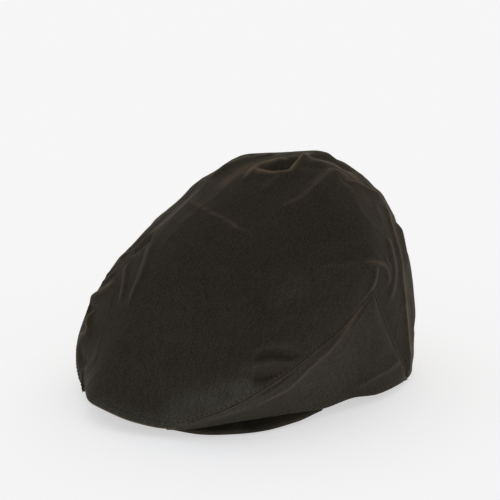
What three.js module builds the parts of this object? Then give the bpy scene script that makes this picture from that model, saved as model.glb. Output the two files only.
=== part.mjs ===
// Waxed cotton flat cap with a one-piece top that runs from the peak's edge to the nape,
// two wedge-shaped side panels and a stiff arched peak. The top is drawn in four quarters.
// Millimetres, +Z up. The peak points to -Y, the wearer's left is +X, and the cap stands on Z = 0.
import * as THREE from 'three';
import { mergeVertices } from 'three/addons/utils/BufferGeometryUtils.js';

// Driving dimensions.
const CLOTH = 2;
const HEM_EXTRA = 1.6;
const HEM_DEPTH = 12;
const PEAK_BOARD = 3.8;
const PEAK_GAP = 0.5;
const SEAM_GAP = 0.3;
const SIDE_BULGE = 3;
const SIDE_ROLL = 4.5;
const SIDE_LOW_LIFT = 0.45;
const SIDE_HIGH_DROP = 0.25;
const CROWN_TOP = new THREE.Vector3(0, 46, 149.5);
const CROWN_TILT = 0.05;
const CORE = new THREE.Vector3(0, 20, 40);

// Half of the cloth in sections, from the tip of the peak round the wearer's left side to the nape.
// foot: lower edge. shoulder and brow: control points that lift the top panel over to the crown's
// top, where the brow's height follows from the crown's tilt.
const SECTIONS = [
  { foot: [0, -118, 18.5], shoulder: [0, -101, 64], brow: [0, -26] },
  { foot: [25, -113.5, 16], shoulder: [30, -98, 62], brow: [17, -24] },
  { foot: [43.5, -101.5, 11.2], shoulder: [57, -93, 57], brow: [34, -18] },
  { foot: [55.5, -85, 9.5], shoulder: [78, -85, 57], brow: [49, -10] },
  { foot: [66.5, -67, 9.6], shoulder: [91, -68, 64], brow: [60, 0] },
  { foot: [74, -48, 9.6], shoulder: [95, -48, 74], brow: [67, 11] },
  { foot: [78.5, -26, 9.5], shoulder: [98, -25, 86], brow: [70, 21] },
  { foot: [79.5, -3, 9.3], shoulder: [100, -3, 97], brow: [68, 32] },
  { foot: [80, 21, 8.5], shoulder: [99, 22, 105], brow: [60, 42] },
  { foot: [79, 43, 6], shoulder: [94, 46, 110], brow: [49, 50] },
  { foot: [73.5, 64, 3.5], shoulder: [86, 70, 113], brow: [41, 60] },
  { foot: [62, 87, 1.5], shoulder: [71, 92, 114], brow: [31, 70] },
  { foot: [46, 105, 0], shoulder: [52, 110, 113], brow: [22, 80] },
  { foot: [24, 117, 0], shoulder: [27, 120.5, 112], brow: [11, 87] },
  { foot: [0, 121, 0], shoulder: [0, 124, 112], brow: [0, 90] },
];

// Half of the peak's upper face in the same sections: its outer rim and its inner edge at the band.
const PEAK_SECTIONS = [
  { rim: [0, -121.2, 16.2], band: [0, -80, 33] },
  { rim: [26, -116.5, 13.7], band: [21, -77, 31] },
  { rim: [45.5, -104, 8.7], band: [37, -70, 26.5] },
  { rim: [58.5, -86, 5.3], band: [51, -59, 21.5] },
  { rim: [69.5, -67.5, 3.9], band: [61, -45, 17.8] },
  { rim: [77, -48, 3.9], band: [68, -30, 14.5] },
  { rim: [80.2, -26, 5.6], band: [73, -14, 12] },
  { rim: [80, -3, 7], band: [75.5, 0, 10] },
];
const PEAK_END = PEAK_SECTIONS.length - 1;

// The top panel is a square grid bent into a disc. Its edge is counted in cells from the tip, and
// the left side panel's seam runs from the front cell up to the apex cell and down to the rear cell.
// The quarter gap is how far each quarter stays from the grid's middle lines, in half grid widths.
const TOP_CELLS = 42;
const SEAM_FRONT = 13;
const SEAM_APEX = 52;
const SEAM_REAR = 65;
const SEAM_END_TRIM = 0.3;
const QUARTER_GAP = 0.001;
const TOP_SEAM = [
  [66, -91, 16],
  [84, -75, 29],
  [90, -48, 41],
  [92, -23, 52],
  [92, 3, 64],
];
const APEX = [86, 31, 79];
const REAR_SEAM_MIDDLE = [77, 54, 42];
const SIDE_CELLS = 4;
const PEAK_CELLS = 28;
const PEAK_CELLS_ACROSS = 3;
const PEAK_LEDGE = 1 / PEAK_CELLS_ACROSS;

// Share of a panel, counted from its seam, over which the mitre of its wall fades out.
const TOP_MITRE = 0.12;
const SIDE_MITRE = 0.25;

// Main folds and dents of the cloth, each along a curve through three points on the surface:
// raised where height is positive, sunk where it is negative, and fading out at reach.
const FOLDS = [
  { from: [-6, 21, 145], over: [7, 24, 146], to: [4, 35, 148], reach: 9, height: -6 },
  { from: [-14, 8, 140], over: [-17, 26, 145], to: [-4, 42, 149], reach: 9, height: 3.5 },
  { from: [-12, 10, 141], over: [13, 14, 142], to: [12, 36, 148], reach: 8, height: 2.5 },
  { from: [23, 57, 145], over: [34, 29, 143], to: [36, -3, 130], reach: 10, height: 4.5 },
  { from: [36, 54, 141], over: [39, 66, 133], to: [43, 79, 119], reach: 10, height: -4.5 },
  { from: [-47, 44, 134], over: [-41, 25, 140], to: [-38, 2, 134], reach: 18, height: 3.5 },
  { from: [-56, 8, 119], over: [-62, -26, 103], to: [-68, -54, 84], reach: 26, height: -4 },
  { from: [-46, -15, 120], over: [-1, -29, 121], to: [35, -27, 115], reach: 10, height: 2 },
  { from: [-49, -43, 98], over: [-34, -64, 85], to: [-14, -87, 66], reach: 10, height: 4 },
  { from: [-70, -71, 57], over: [-52, -72, 66], to: [-45, -67, 75], reach: 9, height: 4 },
  { from: [-68, -85, 36], over: [-55, -86, 43], to: [-60, -77, 56], reach: 9, height: 3 },
  { from: [89, -57, 44], over: [91, -48, 44], to: [91, -36, 44], reach: 9, height: -3 },
  { from: [57, -93, 27], over: [73, -83, 35], to: [86, -70, 42], reach: 18, height: 2.5 },
  { from: [69, 64, 100], over: [74, 63, 84], to: [79, 56, 66], reach: 9, height: 3 },
  { from: [54, 86, 92], over: [66, 81, 59], to: [63, 87, 15], reach: 10, height: 3.5 },
  { from: [87, 22, 100], over: [83, 41, 95], to: [80, 53, 82], reach: 9, height: 2.5 },
];
const FOLD_SAMPLES = 24;

const ROWS = SECTIONS.length - 1;
const TINY = 1e-6;
const smooth = THREE.MathUtils.smoothstep;
const vector = (p) => new THREE.Vector3(...p);
const mirrored = (p) => new THREE.Vector3(-p.x, p.y, p.z);

// Points of one column of a table, with their height added where the table leaves it out.
function columnPoints(table, column) {
  return table.map((row) => {
    const [x, y, z = CROWN_TOP.z + CROWN_TILT * (y - CROWN_TOP.y)] = row[column];
    return new THREE.Vector3(x, y, z);
  });
}

// A closed curve through one column and its mirror image, at parameter 0 to 1 from the tip.
function loopCurve(column) {
  const half = columnPoints(SECTIONS, column);
  const other = half.slice(1, -1).reverse().map(mirrored);
  return new THREE.CatmullRomCurve3([...half, ...other], true, 'catmullrom');
}

// An open curve through one column of the peak, from its right end to its left end.
function peakCurve(column) {
  const half = columnPoints(PEAK_SECTIONS, column);
  const other = half.slice(1).reverse().map(mirrored);
  return new THREE.CatmullRomCurve3([...other, ...half], false, 'catmullrom');
}

const footLoop = loopCurve('foot');
const shoulderLoop = loopCurve('shoulder');
const browLoop = loopCurve('brow');
const rimCurve = peakCurve('rim');
const bandCurve = peakCurve('band');

// Lower edge of the cloth at a turn round the cap, never below the floor.
function footAt(turn) {
  const foot = footLoop.getPoint(turn);
  foot.z = Math.max(foot.z, 0);
  return foot;
}

// A square from -1 to 1 bent into the unit disc, so that the panel has no pole.
function discPoint(x, y) {
  return [x * Math.sqrt(1 - (y * y) / 2), y * Math.sqrt(1 - (x * x) / 2)];
}

// Turn round the cap, 0 to 1 from the tip, of a point on the disc.
function turnOf(x, y) {
  const turn = Math.atan2(x, -y) / (2 * Math.PI);
  return turn < 0 ? turn + 1 : turn;
}

// Turn of a place on the left half of the panel's edge, counted in cells from the tip.
function edgeTurn(cell) {
  const half = TOP_CELLS / 2;
  if (cell <= half) {
    return turnOf(...discPoint(cell / half, -1));
  }
  if (cell <= 3 * half) {
    return turnOf(...discPoint(1, cell / half - 2));
  }
  return turnOf(...discPoint(4 - cell / half, 1));
}

const frontTurn = edgeTurn(SEAM_FRONT);
const apexTurn = edgeTurn(SEAM_APEX);
const rearTurn = edgeTurn(SEAM_REAR);
const topSeam = new THREE.CatmullRomCurve3(
  [footAt(frontTurn), ...TOP_SEAM.map(vector), vector(APEX)], false, 'catmullrom');
const rearSeam = new THREE.QuadraticBezierCurve3(
  vector(APEX), vector(REAR_SEAM_MIDDLE), footAt(rearTurn));

// Lower edge of the top panel: a seam beside each side panel, and the foot of the cloth elsewhere.
function topEdge(turn) {
  const half = Math.min(turn, 1 - turn);
  if (half <= frontTurn || half >= rearTurn) {
    return footAt(turn);
  }
  const point = half <= apexTurn
    ? topSeam.getPoint((half - frontTurn) / (apexTurn - frontTurn))
    : rearSeam.getPoint((half - apexTurn) / (rearTurn - apexTurn));
  return turn <= 0.5 ? point : mirrored(point);
}

// Point of the top panel: the disc's rim is the panel's edge, its centre the crown's top.
function topPoint(x, y) {
  const turn = turnOf(x, y);
  const lift = 1 - Math.min(Math.hypot(x, y), 1);
  const profile = new THREE.CubicBezierCurve3(
    topEdge(turn), shoulderLoop.getPoint(turn), browLoop.getPoint(turn), CROWN_TOP);
  return profile.getPoint(lift);
}

// Outward direction of a surface from four points about a place on it.
function crossNormal(left, right, low, high) {
  return right.sub(left).cross(high.sub(low)).normalize();
}

function topNormal(x, y) {
  const step = 0.01;
  const [u, v] = [x * (1 - step), y * (1 - step)];
  return crossNormal(
    topPoint(u - step, v), topPoint(u + step, v), topPoint(u, v - step), topPoint(u, v + step));
}

const foldLines = FOLDS.map((fold) => {
  const [from, over, to] = [fold.from, fold.over, fold.to].map(vector);
  const bend = over.clone().multiplyScalar(2).addScaledVector(from, -0.5).addScaledVector(to, -0.5);
  const line = new THREE.QuadraticBezierCurve3(from, bend, to).getPoints(FOLD_SAMPLES);
  return { ...fold, line };
});

// How far the folds move a point of the cloth out, or in where the sum is negative.
function foldHeight(point) {
  let sum = 0;
  for (const { line, reach, height } of foldLines) {
    const distances = line.map((p) => p.distanceTo(point));
    const nearest = Math.min(...distances);
    if (nearest < reach) {
      const along = distances.indexOf(nearest) / FOLD_SAMPLES;
      const across = 1 - (nearest / reach) ** 2;
      sum += height * across * across * Math.sqrt(4 * along * (1 - along));
    }
  }
  return sum;
}

// Horizontal direction away from the middle of the cap.
function outward(point) {
  return new THREE.Vector3(point.x, point.y - CORE.y, 0).normalize();
}

// Wall of the cloth at its foot: along the top of the peak, or level where the hem is free.
function footWall(turn) {
  const half = Math.min(turn, 1 - turn);
  const foot = footAt(turn);
  const level = outward(foot).multiplyScalar(-CLOTH - HEM_EXTRA);
  const row = half * 2 * ROWS;
  if (row >= PEAK_END + 1) {
    return level;
  }
  const place = 0.5 + (Math.min(row, PEAK_END) / PEAK_END) * (turn <= 0.5 ? 0.5 : -0.5);
  const along = bandCurve.getPoint(place).sub(foot).setLength(CLOTH);
  return along.lerp(level, smooth(row, PEAK_END, PEAK_END + 1));
}

// Wall of the top panel at its edge: mitred towards the middle of the cap on a seam.
function edgeWall(turn) {
  const edge = topEdge(turn);
  const mitre = CORE.clone().sub(edge).setLength(CLOTH);
  const height = edge.distanceTo(footAt(turn));
  return footWall(turn).lerp(mitre, smooth(height, 0, HEM_DEPTH));
}

// Thickness of the wall at a height above its foot, thicker in the turned-up hem.
function wallAt(height) {
  return CLOTH + HEM_EXTRA * (1 - smooth(height, HEM_DEPTH / 2, 2 * HEM_DEPTH));
}

// A box of cells bent by place(u, v), which gives the outer and the inner point of the wall.
function wallGeometry(cellsAlong, cellsAcross, place) {
  const geometry = new THREE.BoxGeometry(2, 2, 2, cellsAlong, cellsAcross, 1);
  const position = geometry.attributes.position;
  for (let i = 0; i < position.count; i += 1) {
    const { outer, inner } = place(position.getX(i), position.getY(i));
    const point = position.getZ(i) > 0 ? outer : inner;
    position.setXYZ(i, point.x, point.y, point.z);
  }
  geometry.deleteAttribute('normal');
  geometry.deleteAttribute('uv');
  const merged = mergeVertices(geometry);
  merged.computeVertexNormals();
  return merged;
}

function onSeam(turn) {
  const half = Math.min(turn, 1 - turn);
  return half > frontTurn + TINY && half < rearTurn - TINY;
}

// Outer and inner point of the top panel at a place on the square grid.
function topWall(x, y) {
  const [u, v] = discPoint(x, y);
  const turn = turnOf(u, v);
  const lift = 1 - Math.min(Math.hypot(u, v), 1);
  const normal = topNormal(u, v);
  const outer = topPoint(u, v);
  const fade = smooth(lift, 0, TOP_MITRE / 2);
  const height = outer.distanceTo(footAt(turn));
  outer.addScaledVector(normal, foldHeight(outer) * fade);
  if (lift < TINY && onSeam(turn)) {
    const further = 0.98;
    const retreat = topPoint(further * u, further * v).sub(outer).setLength(SEAM_GAP / 2);
    outer.add(retreat);
  }
  const inward = normal.multiplyScalar(-wallAt(height));
  const wall = edgeWall(turn).lerp(inward, smooth(lift, 0, TOP_MITRE));
  return { outer, inner: outer.clone().add(wall) };
}

// The seam as the top panel's facets have it, so that the two panels meet without overlap.
function seamAt(cell) {
  const first = Math.min(Math.floor(cell), SEAM_REAR - 1);
  const ends = [first, first + 1].map((whole) => {
    const turn = edgeTurn(whole);
    const outer = topEdge(turn);
    return { outer, inner: outer.clone().add(edgeWall(turn)) };
  });
  return {
    outer: ends[0].outer.lerp(ends[1].outer, cell - first),
    inner: ends[0].inner.lerp(ends[1].inner, cell - first),
  };
}

// Point of the left side panel's outer face, from its foot at rise 0 to the seam at rise 1.
function sidePoint(cell, rise) {
  const foot = footAt(edgeTurn(cell));
  const seam = seamAt(cell).outer;
  const height = seam.z - foot.z;
  const fullness = smooth(height, 0, 2 * HEM_DEPTH);
  const away = outward(foot);
  const low = foot.clone().addScaledVector(away, SIDE_BULGE * fullness);
  low.z += SIDE_LOW_LIFT * height;
  const high = seam.clone().addScaledVector(away, SIDE_ROLL * fullness);
  high.z -= SIDE_HIGH_DROP * height;
  return new THREE.CubicBezierCurve3(foot, low, high, seam).getPoint(rise);
}

function sideNormal(cell, rise) {
  const [alongStep, riseStep] = [0.2, 0.02];
  const middle = Math.min(Math.max(cell, SEAM_FRONT + 1), SEAM_REAR - 1);
  const inside = Math.min(Math.max(rise, riseStep), 1 - riseStep);
  return crossNormal(
    sidePoint(middle - alongStep, inside), sidePoint(middle + alongStep, inside),
    sidePoint(middle, inside - riseStep), sidePoint(middle, inside + riseStep));
}

// Outer and inner point of the left side panel, with both ends cut where the wedge gets thin.
function sideWall(cell, rise) {
  const place = Math.min(Math.max(cell, SEAM_FRONT + SEAM_END_TRIM), SEAM_REAR - SEAM_END_TRIM);
  const foot = footAt(edgeTurn(place));
  const seam = seamAt(place);
  const retreat = foot.clone().sub(seam.outer).setLength(SEAM_GAP / 2);
  const normal = sideNormal(place, rise);
  const outer = sidePoint(place, rise);
  const height = outer.distanceTo(foot);
  outer.addScaledVector(normal, foldHeight(outer) * 4 * rise * (1 - rise));
  outer.addScaledVector(retreat, rise);
  const seamVector = seam.inner.sub(seam.outer);
  const edgeVector = footWall(edgeTurn(place)).lerp(seamVector, rise);
  const middleness = smooth(height, 0, HEM_DEPTH) * smooth(1 - rise, 0, SIDE_MITRE);
  const wall = edgeVector.lerp(normal.multiplyScalar(-wallAt(height)), middleness);
  return { outer, inner: outer.clone().add(wall) };
}

// Top and underside of the peak. The first third of the way across goes from the rim to the ledge
// under the foot of the cloth, and the rest from there to the edge of the head opening.
function peakWall(along, across) {
  const place = (along + 1) / 2;
  const turn = (PEAK_END * along) / ROWS / 2;
  const foot = footAt(turn < 0 ? turn + 1 : turn);
  const band = bandCurve.getPoint(place);
  const tangent = bandCurve.getTangent(place);
  const normal = tangent.cross(band.clone().sub(foot)).normalize();
  const ledge = foot.addScaledVector(normal, -PEAK_GAP);
  const inwards = (across + 1) / 2;
  const outer = inwards < PEAK_LEDGE
    ? rimCurve.getPoint(place).lerp(ledge, inwards / PEAK_LEDGE)
    : ledge.lerp(band.addScaledVector(normal, -PEAK_GAP), (inwards - PEAK_LEDGE) / (1 - PEAK_LEDGE));
  const inner = outer.clone();
  inner.z = Math.max(outer.z - PEAK_BOARD, 0);
  return { outer, inner };
}

function waxedCotton() {
  return new THREE.MeshStandardMaterial({ color: 0x2d2a22, roughness: 0.72, metalness: 0 });
}

function peakCover() {
  return new THREE.MeshStandardMaterial({ color: 0x2b2921, roughness: 0.7, metalness: 0 });
}

function namedMesh(name, geometry, material) {
  const mesh = new THREE.Mesh(geometry, material);
  mesh.name = name;
  return mesh;
}

// A quarter of the top panel: left is 1 or -1 for the wearer's left or right, back 1 or -1.
function topQuarter(name, left, back) {
  const within = (place, side) => {
    const line = (place + side) / 2;
    return Math.abs(line) < QUARTER_GAP ? side * QUARTER_GAP : line;
  };
  const cells = TOP_CELLS / 2;
  const geometry = wallGeometry(cells, cells, (u, v) => topWall(within(u, left), within(v, back)));
  return namedMesh(name, geometry, waxedCotton());
}

function sidePanel(name, side) {
  const cells = SEAM_REAR - SEAM_FRONT;
  const geometry = wallGeometry(cells, SIDE_CELLS, (u, v) => {
    const cell = SEAM_FRONT + (cells * (1 + side * u)) / 2;
    const { outer, inner } = sideWall(cell, (v + 1) / 2);
    return side > 0 ? { outer, inner } : { outer: mirrored(outer), inner: mirrored(inner) };
  });
  return namedMesh(name, geometry, waxedCotton());
}

function peak() {
  return namedMesh('peak', wallGeometry(PEAK_CELLS, PEAK_CELLS_ACROSS, peakWall), peakCover());
}

const cap = new THREE.Group();
cap.add(topQuarter('top_front_left', 1, -1), topQuarter('top_front_right', -1, -1));
cap.add(topQuarter('top_back_left', 1, 1), topQuarter('top_back_right', -1, 1));
cap.add(sidePanel('side_panel_left', 1), sidePanel('side_panel_right', -1), peak());

export default cap;
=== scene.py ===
"""Waxed cotton flat cap: a one-piece top over a stiff peak, two side panels and a floor to stand on."""

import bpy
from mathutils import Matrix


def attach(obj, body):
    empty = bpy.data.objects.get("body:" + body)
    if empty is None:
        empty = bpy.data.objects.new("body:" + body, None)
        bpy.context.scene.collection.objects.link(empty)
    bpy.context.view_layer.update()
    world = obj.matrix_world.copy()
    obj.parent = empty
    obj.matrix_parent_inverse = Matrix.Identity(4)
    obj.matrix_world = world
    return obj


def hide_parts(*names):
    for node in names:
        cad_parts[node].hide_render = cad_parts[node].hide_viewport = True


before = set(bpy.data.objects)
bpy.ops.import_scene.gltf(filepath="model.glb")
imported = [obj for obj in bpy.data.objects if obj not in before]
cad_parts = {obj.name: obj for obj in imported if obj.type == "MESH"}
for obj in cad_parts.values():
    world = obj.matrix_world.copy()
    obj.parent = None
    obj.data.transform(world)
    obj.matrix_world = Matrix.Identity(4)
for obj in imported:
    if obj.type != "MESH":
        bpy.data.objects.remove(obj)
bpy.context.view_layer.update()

import math

import bmesh
import bpy
import numpy as np
from bpy.props import FloatProperty, FloatVectorProperty, IntProperty, PointerProperty
from mathutils import Matrix, Vector, noise

bl_info = {
    "name": "Waxed Flat Cap",
    "version": (1, 0, 0),
    "blender": (4, 5, 0),
    "location": "3D View > Sidebar > Flat Cap",
    "description": "Makes the cloth, the peak and the stitches of a waxed cotton flat cap",
    "category": "Add Mesh",
}

MM = 0.001
TOP_NODES = ("top_front_left", "top_front_right", "top_back_left", "top_back_right")

# A rolled or turned edge reaches span times its radius, and ends in a straight tuck in mm.
HEM_SPAN, HEM_TUCK = 3.5, 0.5
SEAM_SPAN, SEAM_TUCK = 2.5, 1.5
# Distances from an edge in mm over which the wall thins, the lining comes down, the face takes
# over from the edge's own direction, and the folds come up.
WALL_FADE, LINING_FADE, FACE_FADE, FOLD_FADE = 12, 5, (1, 9), (0.5, 6)
# Height of a side panel in mm over which the top's edge turns from a hem into a seam.
SEAM_HEIGHT = 6
# Grid lines: where they lie closer together, as place, width and share of the usual distance.
DENSE_ACROSS = ((0.03, 0.14, 0.5), (-0.33, 0.2, 0.75))
DENSE_ALONG = ((-0.06, 0.12, 0.5), (-0.62, 0.2, 0.7))
TURN_STEP = 0.002

# Uneven cloth in mm: the widths and heights of slow waves, small waves and creases.
SLOW_WIDTH, SMALL_WIDTH, CREASE_WIDTH = 46, 19, 31
SLOW_RISE, SMALL_RISE, CREASE_RISE, CREASE_POWER = 1.1, 0.35, 0.35, 6
TOP_SEED, SIDE_SEEDS = 3.1, (("left", False, 7.3), ("right", True, 11.9))

# Wear of the edges in mm from them: a hem's as start, end and strength, a seam's as crest and strength.
FRONT_HEM_WEAR, BACK_HEM_WEAR, SIDE_HEM_WEAR = (2, 3.2, 1), (0.9, 2.6, 0.6), (0.8, 2.6, 1)
TOP_SEAM_WEAR, SIDE_SEAM_WEAR, SEAM_WEAR_WIDTH = (1.8, 0.12), (1.6, 0.15), 0.6
RIM_WEAR, RIM_WEAR_WIDTH = 0.12, 0.5
# The side panels' wear, and their pale tone that paints the light on them, change from front to rear, between
# two places in mm.
SIDE_CHANGE = (-20, 30)
SIDE_WEAR, REAR_WEAR, SIDE_PAINTED_LIGHT, REAR_PAINTED_LIGHT_LOSS = 0.3, 0.4, 0.5, 0.6

# Wax: scale, detail, low and high of each kind of spot, and how much each shows.
MOTTLE = {"Patch": (14, 3, 0.35, 0.68), "Blotch": (55, 4, 0.36, 0.68), "Grain": (1300, 2, 0.3, 0.7)}
BLOTCH_SHARE, PALE_SHARE, RUBBED_SHARE = 0.45, (0.6, 1.0), (0.55, 1.0)
SHADE, ROUGH_SPREAD, WEAVE_BUMP, GRAIN_BUMP = (0.62, 1.42), (-0.06, 0.1), 0.6, 0.4
SLUB_SCALE, SLUB_STRETCH, SLUB_HEIGHT, WAVE_HEIGHT, THREAD_SCALE = 1400, 0.08, 1.2, 0.35, 900
FLOOR_CHANGE = 0.995
BEHIND, ABOVE, LOBE_POWER = (-0.55, 0.79, 0.26), (0, 0, 1), 4
EYE, AIM = (1.08646, -0.89265, 0.48835), (-0.030164, 0.026591, 0.081279)
SENSOR_WIDTH, VIEW_END, FLOOR_DROP = 36, 60, 0.0003

# Half of the cloth in sections, from the peak's tip round the wearer's left side to the nape, in mm.
# foot: lower edge. shoulder and brow: control points that lift the top over to the crown's top.
FOOT = [
    (0, -121.3, 11.4), (25.2, -116, 8.4), (44.2, -102.6, 5.3), (57.4, -85.2, 5.8), (67.2, -67.2, 7.6),
    (74.4, -48, 8.2), (78.8, -26, 7.7), (79.9, -3, 5.8), (80, 21, 7.4), (79, 43, 4.6),
    (73.5, 64, 3.7), (62, 87, 1.9), (46, 105, 0.3), (24, 117, 0.1), (0, 121, 0),
]
SHOULDER = [
    (0, -101, 64), (30, -98, 62), (57, -93, 57), (78, -85, 57), (91, -68, 64),
    (95, -48, 74), (98, -25, 86), (100, -3, 97), (99, 22, 105), (94, 46, 110),
    (86, 70, 113), (71, 92, 114), (52, 110, 113), (27, 120.5, 112), (0, 124, 112),
]
BROW = [
    (0, -26), (17, -24), (34, -18), (49, -10), (60, 0), (67, 11), (70, 21), (68, 32),
    (60, 42), (49, 50), (41, 60), (31, 70), (22, 80), (11, 87), (0, 90),
]
CROWN_TOP = np.array((0, 46, 149.5))
CROWN_TILT = 0.05
SOFT_LIFT = 0.16
MIDDLE_Y = 20
CORE = np.array((0, MIDDLE_Y, 40))
# Places where the right end of the peak differs from the left one: turn, reach, and shift in mm.
PRESSED_TURN, PRESSED_REACH, PRESSED_SHIFT = -0.05, 0.028, np.array((2.2, 2.2, 2.2))
FULL_TURN, FULL_REACH, FULL_SHIFT = -0.09, 0.035, np.array((-7, -3, 0))

# Half of the peak's upper face in the same sections: outer rim, the line that carries the lower
# edge of the cloth, and the inner edge at the band.
RIM = [
    (0, -119.4, 14.6), (24.6, -114.3, 11.8), (43.2, -101.4, 8.2), (58.3, -86, 5),
    (69.5, -67.5, 3.9), (77, -48, 3.9), (80.2, -26, 5.4), (78.4, -3, 5.8),
]
LEDGE = [
    (0, -116, 16.2), (23.9, -111.2, 13.4), (41.8, -98.8, 9.8), (57, -84.6, 5.6), (66.9, -66.9, 5.7),
    (73.9, -48, 6.6), (78.2, -26, 6.6), (77.5, -3, 7.2),
]
BAND = [
    (0, -80, 33), (21, -77, 31), (37, -70, 26.5), (51, -59, 21.5),
    (61, -45, 17.8), (68, -30, 14.5), (73, -14, 12), (75.5, 0, 10),
]
# Share of the section that the ledge takes, the board's thinner ends, and its least height in mm.
PEAK_LEDGE = 1 / 3
THIN_SHARE, THIN_FROM, END_FROM, END_SPAN, LEAST_HEIGHT = 0.55, 0.86, 0.985, 0.015, 0.2

# Seams of the side panels: the top seam from the front up to the apex, the rear seam down again.
FRONT_CELL, APEX_CELL, REAR_CELL, HALF_CELLS = 13, 52, 65, 21
TOP_SEAM = [(66, -91, 16), (84, -75, 28), (90, -48, 39.5), (92, -23, 51.5), (92, 3, 64)]
APEX = np.array((86, 31, 79))
REAR_SEAM_MIDDLE = np.array((77, 54, 42))
SIDE_BULGE, SIDE_ROLL, BULGE_HEIGHT = 3, 4.5, 24
SIDE_LOW_LIFT, SIDE_HIGH_DROP, SIDE_EDGE_STEP = 0.45, 0.25, 0.04
# At its ends a side panel stops short of the corner, and where it is lower than the lap heights in
# mm it laps up and under the top. Its edges shrink where it is lower than the least room. Its lowest
# share keeps the foot's direction, and its highest share the seam's.
SIDE_TRIM, LAP_UP, LAP_UNDER, LAP_HEIGHTS, LEAST_ROOM, EDGE_SHARE = 0.004, 1.1, 0.5, (3, 12), 9, 0.2
# Stitch rows: how far the front row reaches past the corner, and how far up the seam rows go.
STITCH_CORNER, STITCH_TOP, STITCH_SAMPLES = 1.05, 0.9, 2000


def fold(height, reach, line, crest=1.2, wear=0.0, rub=0.9):
    """A fold of the cloth along a line: its height, and its reach to the left and right of the line.

    Wear is how pale its crest is from rubbing, and on a few folds from painted light; rub is how wide that is
    to either side."""
    left, right = reach if isinstance(reach, tuple) else (reach, reach)
    rub_left, rub_right = rub if isinstance(rub, tuple) else (rub, rub)
    return {"height": height, "left": left, "right": right, "line": line, "crest": crest, "wear": wear,
            "rub_left": rub_left, "rub_right": rub_right}


def rubbed_and_lit(line, wear, rub, reach=8):
    """Cloth paler along a line, without a fold: from rubbing and fading, and in a few places painted light.
    """
    return fold(0, reach, line, 1, wear, rub)


# Folds of the top in mm, on the surface.
LIP = [(-11, 13, 142), (-3, 12, 142), (4, 12, 142), (10, 14, 142), (14, 16, 143), (17, 20, 143),
       (17, 23, 144), (14, 28, 146), (10, 34, 148), (7, 41, 149), (4, 49, 149), (4, 56, 149)]
POCKET_FOLDS = [
    fold(-4, (9, 5), [(-8, 19, 144), (-2, 20, 145), (4, 22, 145.5), (8, 26, 146.5), (7, 32, 147.5),
         (3, 40, 148.5)], 2),
    fold(2.6, (4, 9), LIP, 1.2, 0.7, 1.5),
    fold(1.2, (4, 22), LIP[3:-1]),
    fold(2.2, (7, 5), [(-8, 1, 138), (-6, 4, 139), (-7, 10, 141), (-8, 16, 143), (-7, 22, 145), (-5, 26, 146),
         (-2, 30, 148), (0, 36, 148)], 1.4, 0.6, (2.2, 1.4)),
    fold(1, 6, [(-29, 28, 143), (-24, 33, 146), (-19, 38, 147)], 1, 0.3),
    fold(1.2, (6, 8), [(-40, 11, 135), (-35, 16, 138), (-33, 22, 141), (-30, 30, 144)], 1.5, 0.2, 2),
    rubbed_and_lit([(-19, -11, 130), (-20, -3, 134), (-21, 7, 138), (-19, 15, 142), (-11, 23, 145),
         (-2, 31, 148)], 0.26, 6),
    rubbed_and_lit([(-5, 8, 141), (-1, 14, 143), (2, 20, 145)], 0.24, 3.5, 6),
    rubbed_and_lit([(34, 42, 144), (40, 46, 141), (44, 52, 137), (52, 54, 131), (59, 56, 123)], 0.1, 5, 6),
    rubbed_and_lit([(12, 46, 149), (17, 50, 148), (23, 54, 146), (29, 58, 143), (35, 61, 140),
         (42, 64, 134)], 0.34, 4, 4),
]
KNOB_FOLDS = [
    fold(3, (12, 7), [(34, 51, 143), (34, 47, 144), (35, 41, 144), (37, 34, 142), (39, 28, 141),
         (42, 17, 137), (43, 10, 134), (43, 5, 132), (40, 0, 131), (36, -5, 129)], 1.3, 0.25, 1.2),
    fold(-2, 6, [(38, 52, 140), (41, 48, 139), (45, 42, 138)], 1.5),
    fold(2.2, (4, 14), [(31, 51, 144), (38, 50, 141), (42, 51, 139), (45, 56, 136), (45, 64, 131),
         (43, 72, 126), (44, 78, 119)], 0.8, 0.35, (3, 0.6)),
    fold(1, 9, [(17, 17, 143), (14, 8, 140), (15, -2, 135)], 2, 0.1, 2),
    fold(-2.4, (10, 11), [(4, 43, 149), (8, 47, 149), (12, 52, 148), (14, 56, 147), (18, 60, 146),
         (24, 63, 143), (32, 64, 139)], 3),
]
CROWN_FOLDS = [
    fold(2.6, 18, [(-47, 44, 134), (-41, 25, 140), (-38, 2, 134)], 5),
    fold(1.6, 20, [(-6, 64, 149), (10, 52, 149), (26, 38, 146)], 6),
    fold(-4, 26, [(-56, 8, 119), (-62, -26, 103), (-68, -54, 84)], 8),
    fold(1.3, (8, 5), [(-50, -13, 120), (-26, -22, 121), (-4, -28, 122), (18, -29, 119),
         (34, -27, 116)], 1, 0.3),
]
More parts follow.
